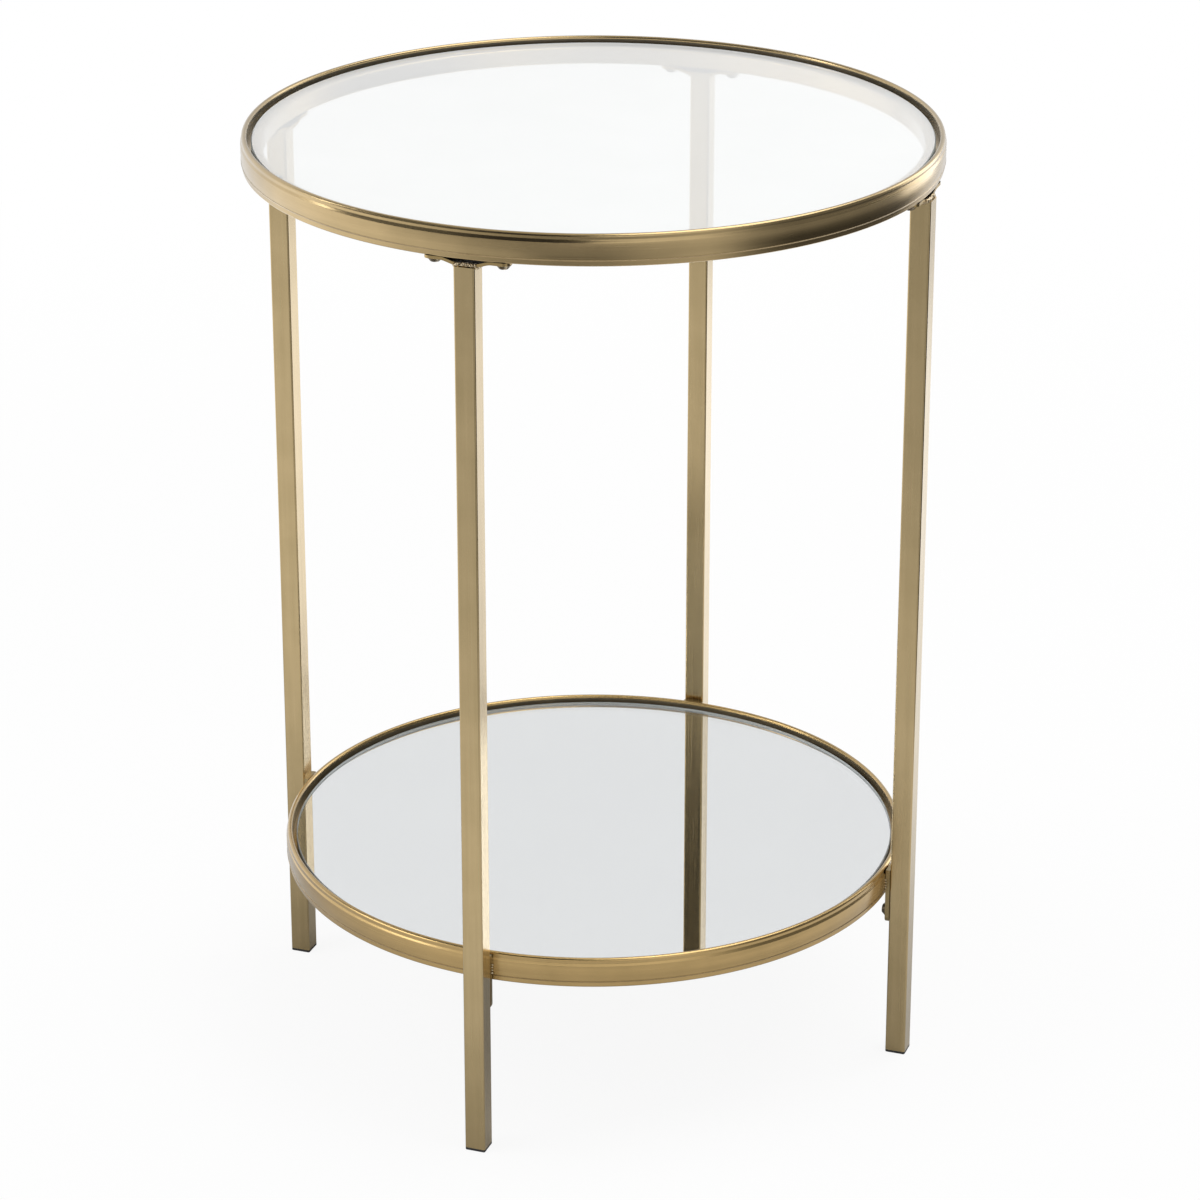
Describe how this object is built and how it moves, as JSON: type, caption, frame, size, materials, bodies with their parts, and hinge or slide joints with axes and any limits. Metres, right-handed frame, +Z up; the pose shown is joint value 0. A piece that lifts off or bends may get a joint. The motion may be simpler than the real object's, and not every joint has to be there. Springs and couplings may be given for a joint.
{
  "type": "round tiered side table",
  "caption": "Round side table with a glass top and a mirrored lower shelf, each held in a rolled brass-finished ring between slim square legs.",
  "frame": {"origin": "on the floor, under the middle of the table", "axes": "+Z up; the front leg stands on -Y and the right leg on +X, as the other two do on +Y and -X"},
  "size_m": [0.462, 0.462, 0.64],
  "materials": {
    "antique_brass": "steel tube with a satin antique brass finish",
    "clear_glass": "clear, ground edge",
    "mirror": "silvered on its back",
    "clear_pad": "clear silicone",
    "black_plastic": "moulded, satin",
    "screw_steel": "bronzed steel button heads",
    "zinc_steel": "zinc plated"
  },
  "bodies": {
    "root": {"top_ring": "antique_brass", "shelf_ring": "antique_brass", "glass_top": "clear_glass", "mirror_shelf": "mirror", "glass_pads": "clear_pad", "mirror_pads": "clear_pad", "leg_front": "antique_brass", "foot_cap_front": "black_plastic", "top_bracket_front": "antique_brass", "shelf_tab_front": "antique_brass", "leg_right": "antique_brass", "foot_cap_right": "black_plastic", "top_bracket_right": "antique_brass", "shelf_tab_right": "antique_brass", "leg_back": "antique_brass", "foot_cap_back": "black_plastic", "top_bracket_back": "antique_brass", "shelf_tab_back": "antique_brass", "leg_left": "antique_brass", "foot_cap_left": "black_plastic", "top_bracket_left": "antique_brass", "shelf_tab_left": "antique_brass", "bracket_screws": "screw_steel", "shelf_screws": "screw_steel", "ring_nuts": "zinc_steel", "leg_nuts": "zinc_steel"}
  },
  "joints": []
}
